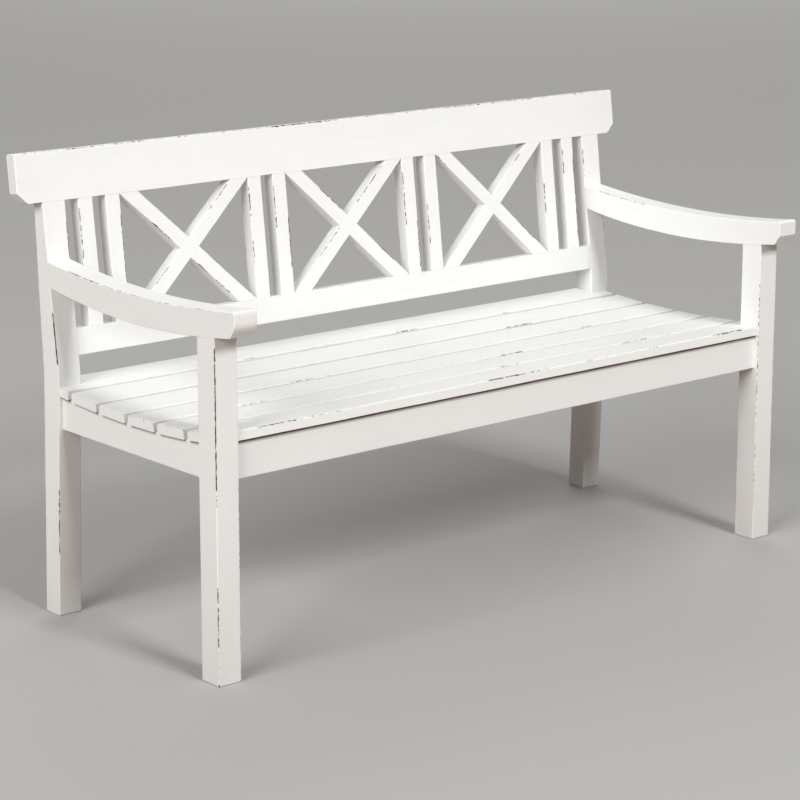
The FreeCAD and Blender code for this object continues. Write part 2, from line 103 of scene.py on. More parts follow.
# levels: floor dust and painted shade at the feet, painted shade on the lower back rail, grime at butt
# joints, painted shade and grime in the seat's gaps
foot_dust_and_shade_level, rail_shade_level, joint_level, gap_shade_and_grime_level = 0.20, 0.06, 0.3, 0.26
strip_shade_level, side_strip_shade_level, corner_strip_shade_level = 1.6, 1.2, 1.7    # painted shadow under the seat slats
ring_step = 0.004
cut_half, cut_clear = 0.00002, 0.001       # a notch's two rings, and how far other rings stay away
corner_steps = 6             # points on a rounded corner, which has two more on each side
corner_points = corner_steps + 4
near_share = 0.13            # where the first of these two lies on the way to the second
map_shift = (3.71, 1.37)     # moves the paint's pattern along and round from piece to piece
first_seed, seed_step = 100, 31
# Wave lengths of slow wear, of patchy wear, of the hand plane and of chips
wear_waves, patch_waves = (0.61, 0.23, 0.087, 0.041), (0.047, 0.021, 0.013)
plane_waves, chip_waves = (0.83, 0.37, 0.19), (0.031, 0.017, 0.011)

inner_half = half_span - leg_width
leg_middle = half_span - leg_width / 2
up_slope = np.array([0, np.sin(back_rake), np.cos(back_rake)])
into_back = np.array([0, np.cos(back_rake), -np.sin(back_rake)])
back_base = np.array([0, front_face + post_setback, bend_height])
crest_low = (overall_height - bend_height) / np.cos(back_rake) - crest_height
rail_top = rail_low + rail_height
group_width = 2 * slat_width + group_gap
panel_width = (2 * (inner_half - end_gap) - (panel_count + 1) * group_width) / panel_count


# Materials

class Value:
    """a shader value; arithmetic on it adds Math nodes to its material"""

    def __init__(self, finish, socket):
        self.finish, self.socket = finish, socket

    def math(self, operation, *values):
        return self.finish.node("ShaderNodeMath", {"operation": operation}, dict(enumerate(values)))

    def __add__(self, other):
        return self.math("ADD", self, other)

    def __sub__(self, other):
        return self.math("SUBTRACT", self, other)

    def __rsub__(self, other):
        return self.math("SUBTRACT", other, self)

    def __mul__(self, other):
        return self.math("MULTIPLY", self, other)

    __radd__, __rmul__ = __add__, __mul__

    def rise(self, low, high):
        """0 up to low, 1 from high on, smooth between"""
        return self.finish.node("ShaderNodeMapRange", {"interpolation_type": "SMOOTHSTEP"},
                                {"Value": self, "From Min": low, "From Max": high})


class Finish:
    """a material with one shader, and the one way its nodes are added"""

    def __init__(self, name):
        self.material = bpy.data.materials.new(name)
        self.material.use_nodes = True
        self.tree = self.material.node_tree
        self.shader = self.tree.nodes["Principled BSDF"]

    def fill(self, node, sockets):
        for key, value in sockets.items():
            if isinstance(value, Value):
                self.tree.links.new(value.socket, node.inputs[key])
            else:
                node.inputs[key].default_value = value

    def node(self, kind, settings=(), sockets=(), out=0):
        node = self.tree.nodes.new(kind)
        for key, value in dict(settings).items():
            setattr(node, key, value)
        self.fill(node, dict(sockets))
        return Value(self, node.outputs[out])

    def noise(self, place, stretch, detail=2.0, roughness=0.5):
        """noise from 0 to 1, its scale per metre given for each axis of the place"""
        spot = self.node("ShaderNodeVectorMath", {"operation": "MULTIPLY"}, {0: place, 1: stretch})
        return self.node("ShaderNodeTexNoise", {}, {"Vector": spot, "Scale": 1.0, "Detail": detail,
                                                    "Roughness": roughness})

    def blend(self, amount, first, second):
        """colour mix: the first at 0, the second at 1"""
        return self.node("ShaderNodeMix", {"data_type": "RGBA"}, {0: amount, 6: first, 7: second}, out=2)

    def bump(self, height, distance):
        return self.node("ShaderNodeBump", {}, {"Height": height, "Distance": distance, "Strength": 1.0})


paint_white = (0.886, 0.886, 0.862, 1.0)
paint_thin = (0.800, 0.775, 0.735, 1.0)
paint_cool = (0.858, 0.860, 0.848, 1.0)
# brown of grime, and of painted shade under the seat, in its gaps, low on the legs and on the lower rail
grime_and_shade_brown = (0.170, 0.120, 0.098, 1.0)
wood_red = (0.190, 0.090, 0.055, 1.0)
wood_dark = (0.030, 0.022, 0.018, 1.0)
hidden_grey, hidden_white, hidden_wood = (0.80, 0.785, 0.755, 1), (0.86, 0.85, 0.83, 1), (0.42, 0.31, 0.22, 1)
zinc_bright, zinc_dull = (0.62, 0.61, 0.58, 1), (0.45, 0.44, 0.42, 1)
floor_bounce, floor_seen = (0.19, 0.12, 0.085, 1), (0.45, 0.44, 0.425, 1)


def worn_paint():
    """brushed satin paint, rubbed through to dark wood where the wear of the piece's edges is high

    The piece's map runs along it (u) and round it (v), in metres. Wear plus streaky noise over one half
    is bare wood, a little less is thin paint with the wood's red showing through. Grime in the joints and
    gaps, and painted shade in the gaps, under the seat slats, low on the legs and on the lower rail, turn the
    paint brownish.
    """
    finish = Finish("worn_white_paint")
    place = finish.node("ShaderNodeUVMap", {"uv_map": "along_and_round"})
    wear = finish.node("ShaderNodeAttribute", {"attribute_name": "wear"}, out=2)
    # grime at the joints together with painted shade, as worked out for each piece
    grime_and_shade = finish.node("ShaderNodeAttribute", {"attribute_name": "grime_and_shade"}, out=2)
    dashes = finish.noise(place, (130, 520, 1), 5.0, 0.65)
    crumbs = finish.noise(place, (520, 900, 1), 2.0)
    brush = finish.noise(place, (9, 620, 1), 3.0, 0.6)
    grain = finish.noise(place, (4, 150, 1), 3.0, 0.55)
    clouds = finish.noise(place, (5, 22, 1), 2.0)
    dust = finish.noise(place, (150, 190, 1), 1.0)
    rub = wear + (dashes - 0.5) * 1.4 + (crumbs - 0.5) * 0.4
    bare = rub.rise(0.50, 0.60)
    thin = rub.rise(0.28, 0.54)
    speck = dust.rise(0.80, 0.83) * clouds.rise(0.45, 0.6)
    paint = finish.blend(clouds.rise(0.35, 0.7) * 0.55, paint_white, paint_cool)
    paint = finish.blend((1 - grain.rise(0.30, 0.46)) * 0.12, paint, paint_thin)
    paint = finish.blend(thin * 0.35, paint, wood_red)
    # grime and painted shade turn the paint towards brown
    paint = finish.blend(grime_and_shade * (0.55 + clouds * 0.5), paint, grime_and_shade_brown)
    wood = finish.blend(crumbs.rise(0.35, 0.7), wood_dark, wood_red)
    wood = finish.blend(rub.rise(0.60, 0.85), wood, wood_dark)
    colour = finish.blend(bare, paint, wood)
    colour = finish.blend(speck * 0.7, colour, wood_red)
    height = (1 - bare) * 0.25 + brush * 0.05 + grain * 0.08
    finish.fill(finish.shader, {"Base Color": colour, "Roughness": 0.41 + brush * 0.14 + bare * 0.30,
                                "Normal": finish.bump(height, 0.0008), "IOR": 1.48})
    return finish.material


def underside_paint():
    """thin, dusty paint on the hidden pieces, with level streaks of a dry brush"""
    finish = Finish("underside_paint")
    place = finish.node("ShaderNodeTexCoord", out=3)
    streaks = finish.noise(place, (60, 60, 420), 4.0, 0.6)
    clouds = finish.noise(place, (14, 14, 14), 3.0)
    gaps = (streaks * 0.6 + clouds * 0.4).rise(0.58, 0.72)
    paint = finish.blend(clouds, hidden_grey, hidden_white)
    colour = finish.blend(gaps * 0.55, paint, hidden_wood)
    finish.fill(finish.shader, {"Base Color": colour, "Roughness": 0.55 + streaks * 0.2,
                                "Normal": finish.bump(streaks * 0.3, 0.0008)})
    return finish.material


def screw_steel():
    """zinc-plated steel, a little dull"""
    finish = Finish("screw_steel")
    place = finish.node("ShaderNodeTexCoord", out=3)
    dull = finish.noise(place, (900, 900, 900), 3.0)
    finish.fill(finish.shader, {"Base Color": finish.blend(dull, zinc_bright, zinc_dull), "Metallic": 1.0,
                                "Roughness": 0.28 + dull * 0.3})
    return finish.material


worn_white = worn_paint()


# Wear: stretches where the paint is rubbed through, from and to along the piece, and how hard.
# Edges 0 to 3 go round a piece: see edge_names. The places are heights on legs, posts, back slats and
# bars, x on rails and seat slats, and depth on the armrests.

edge_names = {
    "upright": {"rear_right": 0, "rear_left": 1, "front_left": 2, "front_right": 3},
    "rail": {"top_rear": 0, "low_rear": 1, "low_front": 2, "top_front": 3},
    "slat": {"rear_top": 0, "front_top": 1, "front_low": 2, "rear_low": 3},
    "arm": {"right_top": 0, "left_top": 1, "left_low": 2, "right_low": 3},
}
# Far edges are worn at seeded places instead: start and length as shares of the piece, and how hard.
far_edges = {"upright": (0, 1), "rail": (0, 1), "slat": (), "arm": (0, 3)}
far_places, far_least, far_most = 2, (0.05, 0.05, 0.42), (0.75, 0.22, 0.62)
worn_places = {
    "crest_rail": {"top_front": [(-0.74, 0.74, 0.40), (-0.65, -0.58, 0.5), (-0.54, -0.46, 0.5),
                                 (-0.18, -0.02, 0.6), (0.26, 0.52, 0.5), (0.61, 0.67, 0.5)]},
    "lower_back_rail": {"top_front": [(-0.10, 0.0, 0.4), (0.29, 0.44, 0.4)]},
    "rear_post_left": {"front_right": [(0.67, 0.74, 0.6)],
                       "front_left": [(0.48, 0.58, 0.85), (0.12, 0.25, 0.6)]},
    "rear_post_right": {"front_left": [(0.69, 0.76, 0.55)], "front_right": [(0.52, 0.62, 0.5)]},
    "front_leg_left": {"front_left": [(0.35, 0.60, 0.76), (0.32, 0.35, 0.55), (0.07, 0.18, 0.62),
                                      (0.0, 0.07, 0.42), (-0.01, 0.005, 1.6)],
                       "front_right": [(0.05, 0.35, 0.42)]},
    "front_leg_right": {"front_left": [(0.29, 0.54, 0.5), (0.06, 0.29, 0.44)],
                        "front_right": [(0.05, 0.50, 0.42)]},
    "back_slat_1": {"front_left": [(0.12, 0.22, 0.6)]},
    "back_slat_2": {"front_right": [(0.06, 0.20, 0.62)]},
    "back_slat_3": {"front_left": [(0.16, 0.22, 0.65), (0.06, 0.12, 0.6)]},
    "back_slat_4": {"front_left": [(0.13, 0.22, 0.6)], "front_right": [(0.05, 0.15, 0.75)]},
    "back_slat_5": {"front_left": [(0.10, 0.21, 0.6)], "front_right": [(0.01, 0.11, 0.65)]},
    "back_slat_6": {"front_left": [(0.05, 0.14, 0.6)]},
    "back_slat_7": {"front_left": [(0.08, 0.15, 0.6)]},
    "back_slat_8": {"front_left": [(0.16, 0.22, 0.6)], "front_right": [(0.02, 0.20, 0.75)]},
    "cross_1_falling": {"front_left": [(0.13, 0.18, 0.65), (0.02, 0.09, 0.55)]},
    "cross_1_rising": {"front_left": [(0.18, 0.23, 0.55), (0.05, 0.09, 0.5)]},
    "cross_2_falling": {"front_right": [(0.15, 0.20, 0.6), (0.03, 0.08, 0.55)]},
    "cross_2_rising": {"front_left": [(0.16, 0.23, 0.6), (0.06, 0.12, 0.55)]},
    "cross_3_rising": {"front_left": [(0.19, 0.22, 0.6)]},
    "cross_3_falling": {"front_right": [(0.03, 0.08, 0.55)], "front_left": [(0.21, 0.235, 0.6)]},
    "armrest_left": {"left_top": [(0.34, 0.45, 0.52), (0.0, 0.34, 0.42)], "left_low": [(0.20, 0.26, 0.4)]},
    "armrest_right": {"left_top": [(0.32, 0.47, 0.48)]},
    "side_apron_left": {"left_top": [(0.412, 0.46, 2.0)]},
    "seat_slat_1": {"front_top": [(0.08, 0.14, 0.52), (-0.30, -0.27, 0.45), (0.37, 0.40, 0.45)]},
    "seat_slat_2": {"front_top": [(0.30, 0.37, 0.52)], "rear_top": [(-0.15, -0.09, 0.5)]},
    "seat_slat_3": {"front_top": [(-0.33, -0.27, 0.45), (0.42, 0.45, 0.45)]},
    "seat_slat_4": {"front_top": [(-0.51, -0.44, 0.42), (0.12, 0.18, 0.5)]},
    "seat_slat_5": {"front_top": [(0.03, 0.09, 0.42), (0.36, 0.44, 0.45)]},
    "seat_slat_6": {"front_top": [(-0.61, -0.52, 0.55), (-0.52, -0.42, 0.42), (-0.08, 0.02, 0.6),
                                  (0.02, 0.08, 0.48), (0.17, 0.20, 0.45), (0.34, 0.37, 0.5),
                                  (0.52, 0.61, 0.6)]},
}


def waves(along, seed, lengths):
    """sum of sines of the given wave lengths with seeded starts, about 0, mostly within 1"""
    starts = np.random.default_rng(seed).uniform(0, 2 * np.pi, len(lengths))
    total = sum(np.sin(2 * np.pi * along / length + start) for length, start in zip(lengths, starts))
    return 1.3 * total / len(lengths)


def edge_wear(node, kind, place, seed, level):
    """wear of a piece's four edges: a slow random level, raised in the worn stretches with soft ends"""
    wear = np.stack([level * np.clip(0.55 + 0.6 * waves(place, seed + edge, wear_waves), 0, 1)
                     for edge in range(4)], -1)
    stretches = [(edge_names[kind][name], *stretch) for name, listed in worn_places.get(node, {}).items()
                 for stretch in listed]
    chance = np.random.default_rng(seed + 23)
    run = place[-1] - place[0]
    for edge in far_edges[kind]:
        for start, length, strength in chance.uniform(far_least, far_most, (far_places, 3)):
            stretches.append((edge, place[0] + start * run, place[0] + (start + length) * run, strength))
    uneven = 1 + 0.25 * waves(place, seed + 7, patch_waves)
    for edge, start, stop, strength in stretches:
        inside = np.clip(np.minimum(place - start, stop - place) / wear_fade + 0.5, 0, 1)
        wear[:, edge] = np.maximum(wear[:, edge], inside * strength * uneven)
    return wear


# Forms

def outline(a_low, a_high, b_low, b_high, radii, lead):
    """rings of a rectangle with quarter-circle corners, counter-clockwise from the (+a, +b) corner

    Each corner is centre + radius * (cos, sin) at equal angles, between lead-in points on the straight sides.
    """
    reach = np.minimum(lead, 0.3 * np.minimum(a_high - a_low, b_high - b_low))[:, None]
    near = near_share * reach
    corners = []
    for edge in range(4):
        radius = radii[:, edge, None]
        turn = np.pi / 2 * edge + np.linspace(0, np.pi / 2, corner_steps)
        centre_a = (a_high - radii[:, edge] if edge in (0, 3) else a_low + radii[:, edge])[:, None]
        centre_b = (b_high - radii[:, edge] if edge in (0, 1) else b_low + radii[:, edge])[:, None]
        arc_a, arc_b = centre_a + radius * np.cos(turn), centre_b + radius * np.sin(turn)
        first, last = turn[0], turn[-1]
        before, after = np.hstack([-reach, -near]), np.hstack([near, reach])
        lead_in = arc_a[:, :1] - before * np.sin(first), arc_b[:, :1] + before * np.cos(first)
        lead_out = arc_a[:, -1:] - after * np.sin(last), arc_b[:, -1:] + after * np.cos(last)
        corners.append(np.stack([np.hstack(row) for row in zip(lead_in, (arc_a, arc_b), lead_out)], -1))
    return np.concatenate(corners, 1)


# How wear fades from each edge onto its two faces.
# The front right edge of an upright piece is chipped deeper.
edge_profile = np.tile([0, 0.12, 0.45, 0.85, 1, 1, 0.85, 0.45, 0.12, 0], 4)
upright_profile = np.append(edge_profile[:3 * corner_points], [0, 0.6, 0.9, 1, 1, 1, 0.85, 0.45, 0.12, 0])


def stations(length, ends, cuts):
    """places along a piece, the draw-in of its outline, of its end faces, and the share of end wear

    An end of size r goes through r * (1 - cos) along and r * (1 - sin) inwards: two steps make a chamfer.
    """
    parts = []
    for size, steps in ends:
        turn = np.linspace(0, np.pi / 2, steps) if steps > 1 else np.array([np.pi / 2])
        place = np.concatenate([[0], size * (1 - np.cos(turn)), size + np.array([near_share, 1]) * edge_lead])
        if steps == 1:
            place[1] = 0
        inset = np.concatenate([[size], size * (1 - np.sin(turn)), [0, 0]])
        edge = np.concatenate([[0], 0.8 + 0.2 * np.sin(2 * turn), [0.5, 0]])
        cap = np.concatenate([[edge_lead], np.zeros(steps + 2)])
        hard = np.concatenate([[False], np.full(steps, steps < 3), [False, False]])
        parts.append((place, inset, cap, edge, hard))
    head, tail = parts
    start, stop = head[0][-1] + ring_step, length - tail[0][-1] - ring_step
    middle = np.linspace(start, stop, max(2, int((stop - start) / ring_step)))
    gaps = np.array([[cut - cut_half, cut + cut_half] for cut in cuts]).ravel()
    middle = middle[np.all(np.abs(middle[:, None] - gaps) > cut_clear, 1)]
    place = np.sort(np.concatenate([middle, gaps]))
    blank = np.zeros(len(place))
    columns = [(head[0], place, length - tail[0][::-1]), (head[1], blank, tail[1][::-1]),
               (head[2], blank, tail[2][::-1]), (head[3], blank, tail[3][::-1]),
               (head[4], np.isin(place, gaps), tail[4][::-1])]
    return [np.concatenate(column) for column in columns]


def skin(name, points, along, girth, wear, grime_and_shade, hard):
    """closed mesh over rings of points: quads between rings, a flat face at each end

    The edges of hard rings are sharp. Faces are turned where the rings run the wrong way round, so that all
    of them point outwards.
    """
    rings, around = points.shape[:2]
    index = np.arange(rings * around).reshape(rings, around)
    following = np.roll(index, -1, 1)
    quads = np.stack([index[:-1], following[:-1], following[1:], index[1:]], -1).reshape(-1, 4)
    round_end = np.append(girth, 2 * girth[-1] - girth[-2])
    u = np.broadcast_to(along[:, None], (rings, around + 1))
    v = np.broadcast_to(round_end, (rings, around + 1))
    corner_maps = [np.stack([m[:-1, :-1], m[:-1, 1:], m[1:, 1:], m[1:, :-1]], -1).reshape(-1, 4)
                   for m in (u, v)]
    first, last = index[0][::-1], index[-1]
    cap_maps = [(u[0, :-1][::-1], v[0, :-1][::-1]), (u[-1, :-1], v[-1, :-1])]
    near = points[:-1]
    facing = np.cross(near - points[1:], np.roll(near, -1, 1) - near)
    if np.einsum("ijk,ijk->", facing, near - near.mean(1, keepdims=True)) < 0:
        quads = quads[:, ::-1]
        corner_maps = [m[:, ::-1] for m in corner_maps]
        first, last = first[::-1], last[::-1]
        cap_maps = [(a[::-1], b[::-1]) for a, b in cap_maps]
    mesh = bpy.data.meshes.new(name)
    mesh.from_pydata(points.reshape(-1, 3), [], quads.tolist() + [first.tolist(), last.tolist()])
    flat_u = np.concatenate([corner_maps[0].ravel(), cap_maps[0][0], cap_maps[1][0]])
    flat_v = np.concatenate([corner_maps[1].ravel(), cap_maps[0][1], cap_maps[1][1]])
    layer = mesh.uv_layers.new(name="along_and_round")
    layer.data.foreach_set("uv", np.stack([flat_u, flat_v], -1).astype(np.float32).ravel())
    for layer_name, amount in (("wear", wear), ("grime_and_shade", grime_and_shade)):
        layer = mesh.attributes.new(layer_name, "FLOAT", "POINT")
        layer.data.foreach_set("value", amount.astype(np.float32).ravel())
    ends = np.empty(len(mesh.edges) * 2, dtype=np.int32)
    mesh.edges.foreach_get("vertices", ends)
    ring = ends.reshape(-1, 2) // around
    sharp = (ring[:, 0] == ring[:, 1]) & hard[ring[:, 0]]
    mesh.attributes.new("sharp_edge", "BOOLEAN", "EDGE").data.foreach_set("value", sharp)
    return mesh


def place_piece(mesh, node):
    piece = bpy.data.objects.new(node + "_painted", mesh)
    bpy.context.scene.collection.objects.link(piece)
    mesh.materials.append(worn_white)
    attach(piece, "root")
    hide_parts(node)


made = []


def member(node, kind, start, way, length, axes, spans, radii=edge_round, ends=(butt, butt),
           draw_in=(1, 1, 1, 1), zero=0.0, level=0.25, end_level=0.3, end_edges=(1, 1, 1, 1), ripple=planed,
           cuts=(), reshape=None, dirt_and_shade=None, lead=edge_lead):
    """one wooden piece: a round-cornered outline carried along a straight path

    The outline at each place spans a_low..a_high along the first axis and b_low..b_high along the second, as
    numbers or functions of the place. Slow waves of the ripple's size make it look hand-planed, corners
    grow rounder with wear, and reshape moves the finished rings. Grime lies along the ends that stand against
    another piece; painted shade and grime lie where the shade-and-grime argument, a function of the two axes
    and the place along, says so.
    """
    seed = first_seed + seed_step * len(made)
    made.append(node)
    along, inset, cap, end_share, hard = stations(length, ends, cuts)
    wear = edge_wear(node, kind, along + zero, seed, level)
    lows_highs = []
    for number, span in enumerate(spans):
        edge = span(along) if callable(span) else np.full(len(along), float(span))
        sign = 1 if number % 2 == 0 else -1
        wave = ripple * waves(along, seed + 11 + number, plane_waves)
        lows_highs.append(edge + wave + sign * (inset * draw_in[number] + cap))
    corner = radii(along) if callable(radii) else np.broadcast_to(radii, (len(along), 4))
    ragged = 0.7 + 0.5 * waves(along, seed + 17, chip_waves)
    corner = np.maximum(corner + chip_depth * wear * ragged[:, None] - (inset + cap)[:, None], least_round)
    flat = outline(*lows_highs, corner, lead)
    a_axis, b_axis = axes
    path = np.asarray(start) + along[:, None, None] * np.asarray(way)
    points = path + flat[..., :1] * a_axis + flat[..., 1:] * b_axis
    if reshape:
        points = reshape(points, along[:, None] / length)
    fade = upright_profile if kind == "upright" else edge_profile
    end_wear = np.outer(end_share * end_level, np.repeat(end_edges, corner_points))
    worn = np.maximum(np.repeat(wear, corner_points, 1) * fade, end_wear) * (cap == 0)[:, None]
    joints = np.where(along < length / 2, ends[0] == butt, ends[1] == butt) * end_share * joint_level
    grime_and_shade = np.broadcast_to(joints[:, None], worn.shape)
    # painted shade and grime, where the given function says
    if dirt_and_shade:
        grime_and_shade = np.maximum(grime_and_shade, dirt_and_shade(flat[..., 0], flat[..., 1], along[:, None]))
    middle = flat[len(flat) // 2]
    girth = np.concatenate([[0], np.cumsum(np.linalg.norm(np.diff(middle, axis=0), axis=1))])
    reach = along * np.linalg.norm(way) - np.where(along < length / 2, 1, -1) * (inset + cap)
    u, v = reach + map_shift[0] * len(made), girth + map_shift[1] * len(made)
    place_piece(skin(node, points, u, v, worn, grime_and_shade, hard), node)


# Legs and posts

def arm_circle(heights):
    """depth, height and radius of the circle through an armrest's rear, middle and front heights"""
    rear, middle, front = heights
    depth = np.array([post_front(rear), arm_middle, arm_front])
    height = np.array([rear, middle, front])
    sums = depth ** 2 + height ** 2
    chords = np.stack([depth[1:] - depth[0], height[1:] - height[0]], -1)
    centre = np.linalg.solve(chords, (sums[1:] - sums[0]) / 2)
    return centre[0], centre[1], np.hypot(depth[0] - centre[0], height[0] - centre[1])


def on_circle(circle, depth):
    return circle[1] - np.sqrt(circle[2] ** 2 - (depth - circle[0]) ** 2)


def bent(height, at, bend, below, above):
    """depth of a post's face: slope below the bend, slope above it, a parabola between"""
    off = height - bend
    ramp = np.where(off > bend_run, off, np.where(off < -bend_run, 0, (off + bend_run) ** 2 / (4 * bend_run)))
    return at + below * off + (above - below) * ramp


def post_front(height):
    return bent(np.asarray(height), post_setback, bend_height, -foot_kick / bend_height, np.tan(back_rake))


def post_rear(height):
    """from the foot to the bend's rear corner, then to the top's rear corner"""
    bend = np.array([post_setback, bend_height]) + post_seat_depth * into_back[1:]
    top = np.array([post_setback, bend_height]) + crest_low * up_slope[1:] + post_top_depth * into_back[1:]
    foot = post_setback + foot_kick + post_foot_depth
    below, above = (bend[0] - foot) / bend[1], (top[0] - bend[0]) / (top[1] - bend[1])
    return bent(height, bend[0], bend[1], below, above)


arm_top, arm_under = (arm_circle(heights) for heights in arm_tops)


def leg_top(points, share):
    """raises each ring so that the last one follows the underside of the armrest"""
    depth = points[..., 1] - front_face
    lift = on_circle(arm_under, depth) - on_circle(arm_under, 0.0)
    return points + share[..., None] * lift[..., None] * Z


def post_top(points, share):
    """tips the rings above the bend, so that the last one lies along the underside of the crest rail"""
    depth = points[..., 1] - front_face - post_front(points[..., 2])
    tip = np.clip((points[..., 2] - bend_height) / (crest_low - tipped_early), 0, 1)
    return points - (depth * np.tan(back_rake) * tip)[..., None] * Z


def foot_dust_and_shade(a, b, along):
    """floor dust and painted shade towards the floor: most at the foot, fading with the square of the way up
    to the height they reach
    """
    return foot_dust_and_shade_level * np.clip(1 - along / dust_and_shade_height, 0, 1) ** 2


half_leg = leg_width / 2 - shy
# legs and posts: floor dust and painted shade, darker towards the floor
for word, side in SIDES:
    place = np.array([side * leg_middle, front_face, 0])
    member("front_leg_" + word, "upright", place, Z, on_circle(arm_under, 0.0) + tuck, (X, Y),
           (-half_leg, half_leg, 0, leg_depth), ends=(foot_end, butt), level=0.3, reshape=leg_top,
           dirt_and_shade=foot_dust_and_shade)
    member("rear_post_" + word, "upright", place, Z, bend_height + crest_low * up_slope[2] + tuck, (X, Y),
           (-half_leg, half_leg, lambda height: post_front(height) + shy, post_rear),
           ends=(foot_end, butt), level=0.3, reshape=post_top, dirt_and_shade=foot_dust_and_shade)


# Back

def crest_top(along):
    """height up the slope of the crest rail's top, its corners rounded off"""
    past = np.clip(np.abs(along - crest_half) - crest_half + crest_corner, 0, crest_corner)
    return crest_low + crest_height - crest_corner + np.sqrt(crest_corner ** 2 - past ** 2)


def crest_bottom(along):
    """height up the slope of the crest rail's underside, its corners clipped"""
    return crest_low + np.clip(np.abs(along - crest_half) - crest_half + crest_clip, 0, crest_clip)


member("crest_rail", "rail", back_base - crest_half * X, X, 2 * crest_half, (up_slope, into_back),
       (crest_bottom, crest_top, 0, crest_thickness),
       radii=(soft_round, crest_low_round, crest_low_round, soft_round), ends=(soft_end, soft_end),
       draw_in=(0, 0, 1, 1), zero=-crest_half, level=0.34, ripple=planed_boards)
# painted shade: the lower back rail is toned down a little all over, against the light the seat throws on it
member("lower_back_rail", "rail", back_base - (inner_half + tuck) * X, X, 2 * (inner_half + tuck),
       (up_slope, into_back), (rail_low, rail_top, 0, rail_thickness),
       radii=(crisp_round, edge_round, edge_round, crisp_round), zero=-inner_half, level=0.22,
       dirt_and_shade=lambda a, b, along: rail_shade_level)

slat_places = []
left = end_gap - inner_half + slat_width / 2
for _ in range(panel_count + 1):
    slat_places += [left, left + slat_width + group_gap]
    left += group_width + panel_width
open_height = crest_low - rail_top
open_base = back_base + (rail_top - tuck) * up_slope
for number, x in enumerate(slat_places, 1):
    member("back_slat_%d" % number, "upright", open_base + x * X, up_slope, open_height + 2 * tuck,
           (X, into_back), (-slat_width / 2, slat_width / 2, shy, bar_depth), level=0.3)

half_panel = panel_width / 2
bar_slope = np.arctan2(open_height, panel_width) + np.arcsin(bar_width / np.hypot(panel_width, open_height))
bar_run = bar_width / np.sin(bar_slope)
crossing_half, crossing_fade = 0.019, 0.006    # half the height of the crossing, and where edges set in again


def crossing_flush(along):
    """edges of the front bar: sharp at the crossing, so that the faces of both bars run into each other"""
    clear = np.clip((np.abs(along - open_height / 2) - crossing_half) / crossing_fade, 0, 1)
    return np.repeat((edge_round * clear)[:, None], 4, 1)


for number in range(1, panel_count + 1):
    middle = (slat_places[2 * number - 1] + slat_places[2 * number]) / 2
    shift = half_panel - bar_run / 2
    for word, lean, back_off, radii in (("falling", -1, shy, crossing_flush),
                                        ("rising", 1, 3 * shy, edge_round)):
        way = up_slope + lean * 2 * shift / open_height * X
        member("cross_%d_%s" % (number, word), "upright", open_base + (middle - lean * shift) * X, way,
               open_height + 2 * tuck, (X * bar_run / bar_width, into_back),
               (-bar_width / 2, bar_width / 2, back_off, bar_depth - back_off), radii=radii, level=0.3)


# Armrests

def nose_low(word, past):
    """height of a nose's lower face: an arc from the upright front, the straight cut, then the underside"""
    reach, radius = nose_reach[word], nose_round[word]
    corner = on_circle(arm_top, -reach) - nose_face
    end = on_circle(arm_under, nose_cut - reach)
    slant = np.arctan2(nose_cut, corner - end)
    tangent = radius * np.tan(slant / 2)
    arc = corner + tangent - np.sqrt(np.maximum(radius ** 2 - (radius - np.minimum(past, radius)) ** 2, 0))
    cut = corner - (corner - end) * past / nose_cut
    shaped = np.where(past < radius * (1 - np.cos(slant)), arc, cut)
    return np.where(past < nose_cut, shaped, on_circle(arm_under, past - reach))


def nose_top(word, past):
    """height of the top, rounded over at the nose by a quarter of an ellipse"""
    back, down = nose_top_round[word]
    short = 1 - np.minimum(past / back, 1)
    return on_circle(arm_top, past - nose_reach[word]) - down * (1 - np.sqrt(1 - short ** 2))


def arm_rear(points, share):
    """slants the rings towards the rear, so that the last one lies along the post"""
    slant = np.clip((share - 0.5) * 2, 0, 1)
    middle = points[..., 2].mean(1, keepdims=True)
    return points + (slant * (points[..., 2] - middle) * np.tan(back_rake))[..., None] * Y


for word, side in SIDES:
    reach = nose_reach[word]
    rear = float(post_front(np.mean([arm_tops[0][0], arm_tops[1][0]])))
    low, top = lambda past: nose_low(word, past), lambda past: nose_top(word, past)
    member("armrest_" + word, "arm", (side * leg_middle, front_face - reach, 0), Y, reach + rear + tuck,
           (X, Z), (-leg_width / 2, leg_width / 2, low, top), ends=(arm_end, butt), draw_in=(1, 1, 0, 0),
           radii=(arm_top_round, arm_top_round, arm_low_round, arm_low_round), zero=-reach, level=0.3,
           end_level=0.1, reshape=arm_rear)


# Seat and aprons

def slat_edges():
    """front and rear depth of each seat slat, the front slat first"""
    edges = [(seat_front, seat_front + front_slat_width)]
    for _ in range(seat_slats - 2):
        edges.append((edges[-1][1] + seat_gap, edges[-1][1] + seat_gap + seat_slat_width))
    return edges + [(edges[-1][1] + seat_gap, seat_rear)]


def slat_pose(edges):
    """middle depth, height and slope of a slat that lies tangent to the dish of the seat"""
    middle = np.mean(edges)
    off = middle - seat_low_place
    return middle, seat_low + off ** 2 / (2 * seat_dish), np.arctan(off / seat_dish)


def seat_line():
    """depths and heights of the slats' lower edges, front to rear"""
    places = []
    for edges in slat_edges():
        middle, height, slope = slat_pose(edges)
        half = (edges[1] - edges[0]) / 2
        along, normal = np.array([np.cos(slope), np.sin(slope)]), np.array([-np.sin(slope), np.cos(slope)])
        base = np.array([middle, height]) - slat_thickness * normal
        places += [base - half * along, base + half * along]
    return np.array(places).T


line_depths, line_heights = seat_line()


def under_seat(depth):
    """height of the seat line"""
    return np.interp(depth, line_depths, line_heights)


